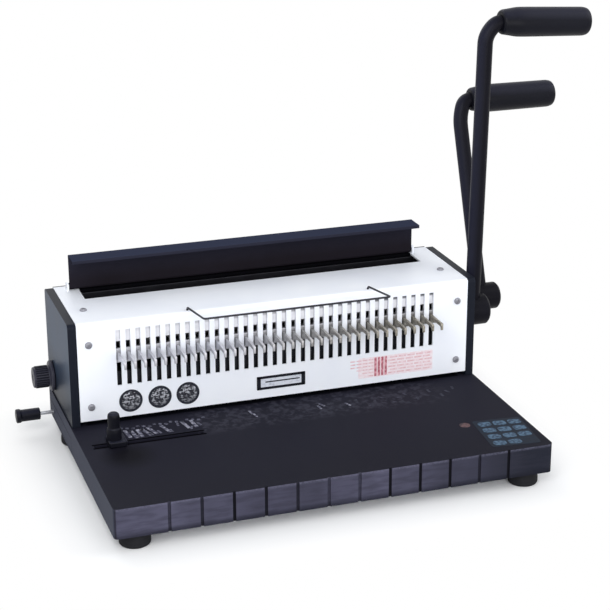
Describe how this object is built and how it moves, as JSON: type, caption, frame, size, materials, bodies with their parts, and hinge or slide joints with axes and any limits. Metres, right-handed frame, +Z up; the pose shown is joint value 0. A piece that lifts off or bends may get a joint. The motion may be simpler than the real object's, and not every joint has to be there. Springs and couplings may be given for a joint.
{
  "type": "wire binding machine",
  "caption": "Manual wire and comb binding machine: slotted housing on a wide deck, punch and closing levers at the right, hinged flap over the closing channel, chip drawer and edge guide.",
  "frame": {"origin": "middle of the footprint of the whole machine, on the table", "axes": "+Z up, +X to the user's right, where the levers are, +Y away from the user"},
  "size_m": [0.517, 0.2764, 0.3608],
  "materials": {
    "charcoal_paint": "fine textured satin",
    "slate_paint": "satin",
    "white_paint": "satin powder coat",
    "black_paint": "satin",
    "black_plastic": "matte moulded",
    "foot_rubber": "matte",
    "tool_steel": "ground",
    "dark_steel": "blackened",
    "zinc_plate": "zinc plated"
  },
  "bodies": {
    "frame": {"base_plate": "zinc_plate", "base_tray": "charcoal_paint", "closer_anvil": "dark_steel", "closer_bush_left": "tool_steel", "closer_bush_right": "tool_steel", "cover_screw_left_high": "zinc_plate", "cover_screw_left_low": "zinc_plate", "cover_screw_left_top": "zinc_plate", "cover_screw_right_high": "zinc_plate", "cover_screw_right_low": "zinc_plate", "cover_screw_right_top": "zinc_plate", "depth_stop": "dark_steel", "die_plate": "tool_steel", "flap_hinge_pin": "tool_steel", "foot_front_left": "foot_rubber", "foot_front_right": "foot_rubber", "foot_rear_left": "foot_rubber", "foot_rear_right": "foot_rubber", "frame_tie_rod": "tool_steel", "front_cover": "white_paint", "hook_guide_left": "black_plastic", "hook_guide_right": "black_plastic", "pin_guide": "tool_steel", "punch_bush_left": "tool_steel", "punch_bush_right": "tool_steel", "rear_cover": "charcoal_paint", "rear_screw_left": "zinc_plate", "rear_screw_right": "zinc_plate", "return_spring_left": "zinc_plate", "return_spring_right": "zinc_plate", "side_plate_left": "slate_paint", "side_plate_right": "slate_paint", "wire_bail": "dark_steel"},
    "punch_drive": {"punch_shaft": "tool_steel", "punch_cam_left": "dark_steel", "punch_cam_right": "dark_steel", "punch_lever_hub": "black_paint", "punch_lever_rod": "black_paint", "punch_lever_grip": "black_plastic"},
    "pin_bar": {"punch_pin_bar": "dark_steel"},
    "closer_drive": {"closer_shaft": "tool_steel", "closer_cam_left": "dark_steel", "closer_cam_right": "dark_steel", "hook_crank_left": "dark_steel", "hook_crank_right": "dark_steel", "closer_lever_hub": "black_paint", "closer_lever_rod": "black_paint", "closer_lever_grip": "black_plastic", "closer_spacer": "black_paint"},
    "hook_bar": {"comb_hook_bar": "tool_steel"},
    "jaw": {"closer_jaw": "tool_steel"},
    "flap": {"closer_flap": "black_paint"},
    "size_dial": {"size_dial_knob": "black_plastic", "size_dial_shaft": "tool_steel"},
    "drawer": {"chip_drawer": "charcoal_paint", "drawer_pull_rod": "tool_steel", "drawer_pull_knob": "black_plastic"},
    "side_guide": {"edge_guide": "black_plastic", "edge_guide_nut": "zinc_plate"}
  },
  "joints": [
    {"name": "punch_lever", "type": "hinge", "parent": "frame", "child": "punch_drive", "pos_m": [-0.04308, 0.04417, 0.09], "axis": [1, 0, 0], "range_deg": [0, 75], "stiffness_Nm_per_rad": 0.35, "springref_deg": -57.3},
    {"name": "pin_bar_press", "type": "slide", "parent": "frame", "child": "pin_bar", "axis": [0, 0, -1], "range_m": [0, 0.0095], "deforming": ["return_spring_left", "return_spring_right"]},
    {"name": "closing_lever", "type": "hinge", "parent": "frame", "child": "closer_drive", "pos_m": [-0.04308, 0.07419, 0.09], "axis": [1, 0, 0], "range_deg": [0, 71], "stiffness_Nm_per_rad": 0.3, "springref_deg": -34.38},
    {"name": "hook_bar_lower", "type": "slide", "parent": "frame", "child": "hook_bar", "axis": [0, 0, -1], "range_m": [0, 0.02]},
    {"name": "jaw_close", "type": "slide", "parent": "frame", "child": "jaw", "axis": [0, 1, 0], "range_m": [0, 0.011]},
    {"name": "flap_fold", "type": "hinge", "parent": "frame", "child": "flap", "pos_m": [-0.04308, 0.10749, 0.132], "axis": [1, 0, 0], "range_deg": [0, 55]},
    {"name": "size_dial_turn", "type": "hinge", "parent": "frame", "child": "size_dial", "pos_m": [-0.23308, 0.09854, 0.0553], "axis": [1, 0, 0], "range_deg": [-135, 135]},
    {"name": "drawer_pull", "type": "slide", "parent": "frame", "child": "drawer", "axis": [-1, 0, 0], "range_m": [0, 0.3]},
    {"name": "edge_guide_slide", "type": "slide", "parent": "frame", "child": "side_guide", "axis": [1, 0, 0], "range_m": [-0.014, 0.068]}
  ],
  "couplings": [
    {"joint": "pin_bar_press", "follows": "punch_lever", "m_per_rad": 0.007257},
    {"joint": "hook_bar_lower", "follows": "closing_lever", "m_per_rad": 0.016135},
    {"joint": "jaw_close", "follows": "closing_lever", "m_per_rad": 0.008876}
  ]
}
